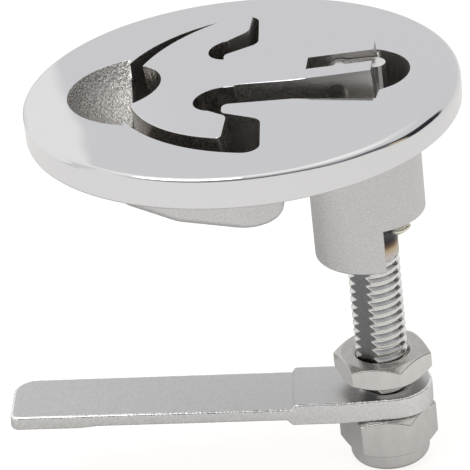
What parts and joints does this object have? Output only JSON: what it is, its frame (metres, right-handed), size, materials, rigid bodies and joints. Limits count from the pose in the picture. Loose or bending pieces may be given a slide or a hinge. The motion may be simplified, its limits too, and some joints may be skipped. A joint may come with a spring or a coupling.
{
  "type": "flush pull latch",
  "caption": "Round flush pull latch: T-shaped pull handle hinged in a cast recess, spindle in a boss, flat cam arm clamped between two nuts on the spindle's end.",
  "frame": {"origin": "centre of the round flange, on its flat back face, which seats on the deck or door", "axes": "+Z out of the deck towards the user, +X from the finger scoop towards the boss and spindle"},
  "size_m": [0.072, 0.0634, 0.067],
  "materials": {
    "polished_casting": "mirror polished face, bead-blasted underside, rough-cast recess",
    "plain_steel": "satin",
    "machined_steel": "turned and threaded, bright",
    "tinted_steel": "straw heat tint from the weld",
    "tumbled_steel": "tumbled satin",
    "nylon": "natural nylon"
  },
  "bodies": {
    "flange": {"flange_casting": "polished_casting"},
    "spindle": {"spindle": "machined_steel", "stop_lug": "tinted_steel", "jam_nut": "plain_steel", "cam_arm": "tumbled_steel", "lock_nut": "plain_steel", "nylon_insert": "nylon"},
    "handle": {"pull_handle": "polished_casting", "hinge_pin": "plain_steel"}
  },
  "joints": [
    {"name": "spindle_turn", "type": "hinge", "parent": "flange", "child": "spindle", "pos_m": [0.0167, 0, 0], "axis": [0, 0, 1], "range_deg": [0, 90]},
    {"name": "handle_lift", "type": "hinge", "parent": "spindle", "child": "handle", "pos_m": [0.01441, 0.0002, 0.00365], "axis": [0.0872, 0.9962, 0], "range_deg": [0, 100]}
  ],
  "couplings": [
    {"joint": "spindle_turn", "follows": "handle_lift", "ratio": 0.9}
  ]
}
